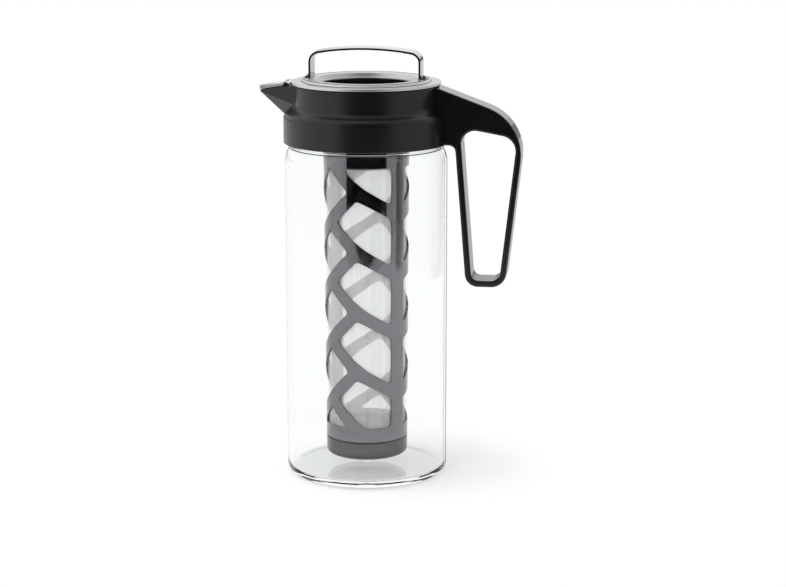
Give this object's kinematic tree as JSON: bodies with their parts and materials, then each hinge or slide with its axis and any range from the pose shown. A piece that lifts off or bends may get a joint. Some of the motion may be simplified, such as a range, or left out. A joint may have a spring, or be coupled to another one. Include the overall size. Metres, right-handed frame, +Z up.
{
  "type": "cold brew carafe",
  "caption": "Glass cold brew carafe with a black collar, spout and band handle, a lift-off lid with a steel cover and loop, and a lattice filter hanging from the lid.",
  "frame": {"origin": "centre of the jug's flat base", "axes": "+Z up the jug's axis, +X towards the handle, -X towards the spout"},
  "size_m": [0.1617, 0.1012, 0.2654],
  "materials": {
    "glass": "clear polished borosilicate glass",
    "silicone": "pale matt silicone",
    "black_plastic": "satin black moulding",
    "flap_plastic": "satin black moulding",
    "steel": "polished stainless steel",
    "cage_plastic": "satin dark grey moulding",
    "screen": "fine white nylon mesh"
  },
  "bodies": {
    "jug": {"glass_jug": "glass", "neck_seal": "silicone", "collar": "black_plastic", "handle": "black_plastic", "flap_pin": "steel"},
    "flap": {"pour_flap": "flap_plastic"},
    "lid": {"lid_cover": "steel", "lid_core": "black_plastic", "lid_seal": "silicone", "lid_loop": "steel", "loop_rivets": "steel"},
    "filter": {"filter_cage": "cage_plastic", "filter_screen": "screen"},
    "filter_cap": {"filter_cap": "cage_plastic"}
  },
  "joints": [
    {"name": "flap_hinge", "type": "hinge", "parent": "jug", "child": "flap", "pos_m": [-0.04775, 0, 0.2426], "axis": [0, 1, 0], "range_deg": [0, 60]},
    {"name": "lid_lift", "type": "slide", "parent": "jug", "child": "lid", "axis": [0, 0, 1], "range_m": [0, 0.24]},
    {"name": "filter_twist", "type": "hinge", "parent": "lid", "child": "filter", "pos_m": [0, 0, 0.228], "axis": [0, 0, 1], "range_deg": [0, 35]},
    {"name": "cap_twist", "type": "hinge", "parent": "filter", "child": "filter_cap", "pos_m": [0, 0, 0.023], "axis": [0, 0, -1], "range_deg": [0, 40]}
  ]
}
